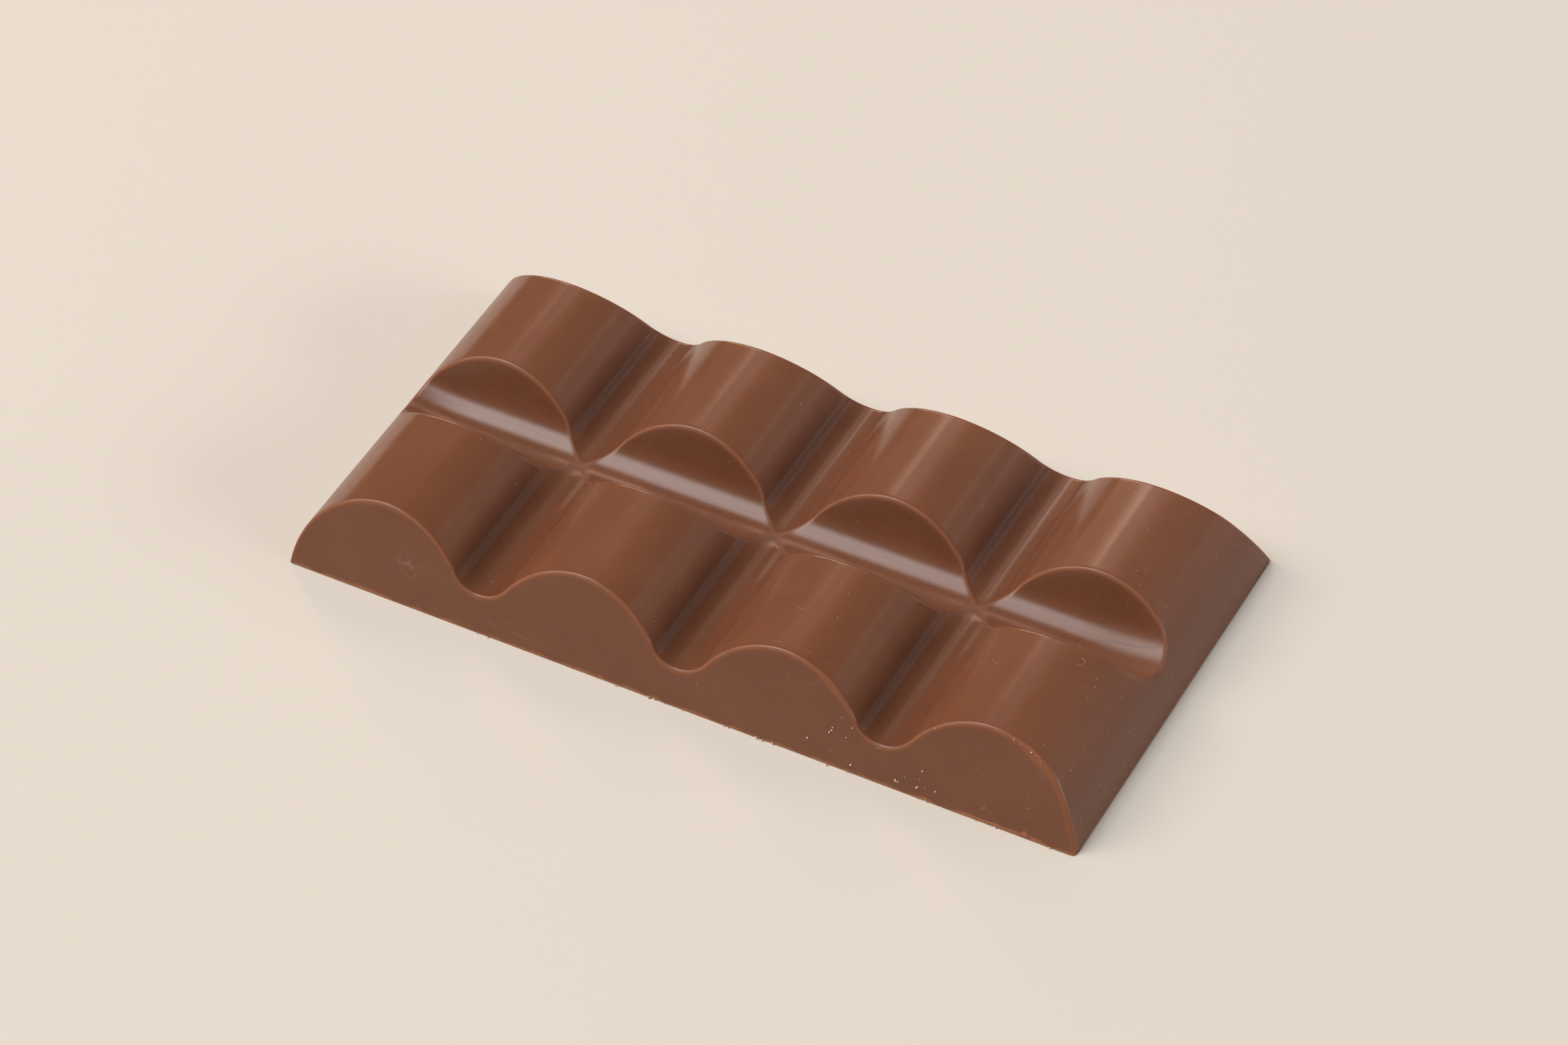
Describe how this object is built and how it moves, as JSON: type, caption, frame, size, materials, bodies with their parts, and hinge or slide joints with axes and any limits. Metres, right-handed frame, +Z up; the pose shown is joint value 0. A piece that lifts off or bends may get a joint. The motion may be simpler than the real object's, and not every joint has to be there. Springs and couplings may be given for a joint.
{
  "type": "chocolate bar",
  "caption": "Plain milk chocolate bar with rounded pieces in two rows, divided by a lengthwise groove and shallow cross valleys.",
  "frame": {"origin": "middle of the flat back that the bar lies on", "axes": "+X along the bar's length, +Y across the two rows, +Z up out of the moulded face"},
  "size_m": [0.1, 0.0498, 0.0104],
  "materials": {
    "milk_chocolate": "satin moulded milk chocolate"
  },
  "bodies": {
    "root": {"chocolate_bar": "milk_chocolate"}
  },
  "joints": []
}
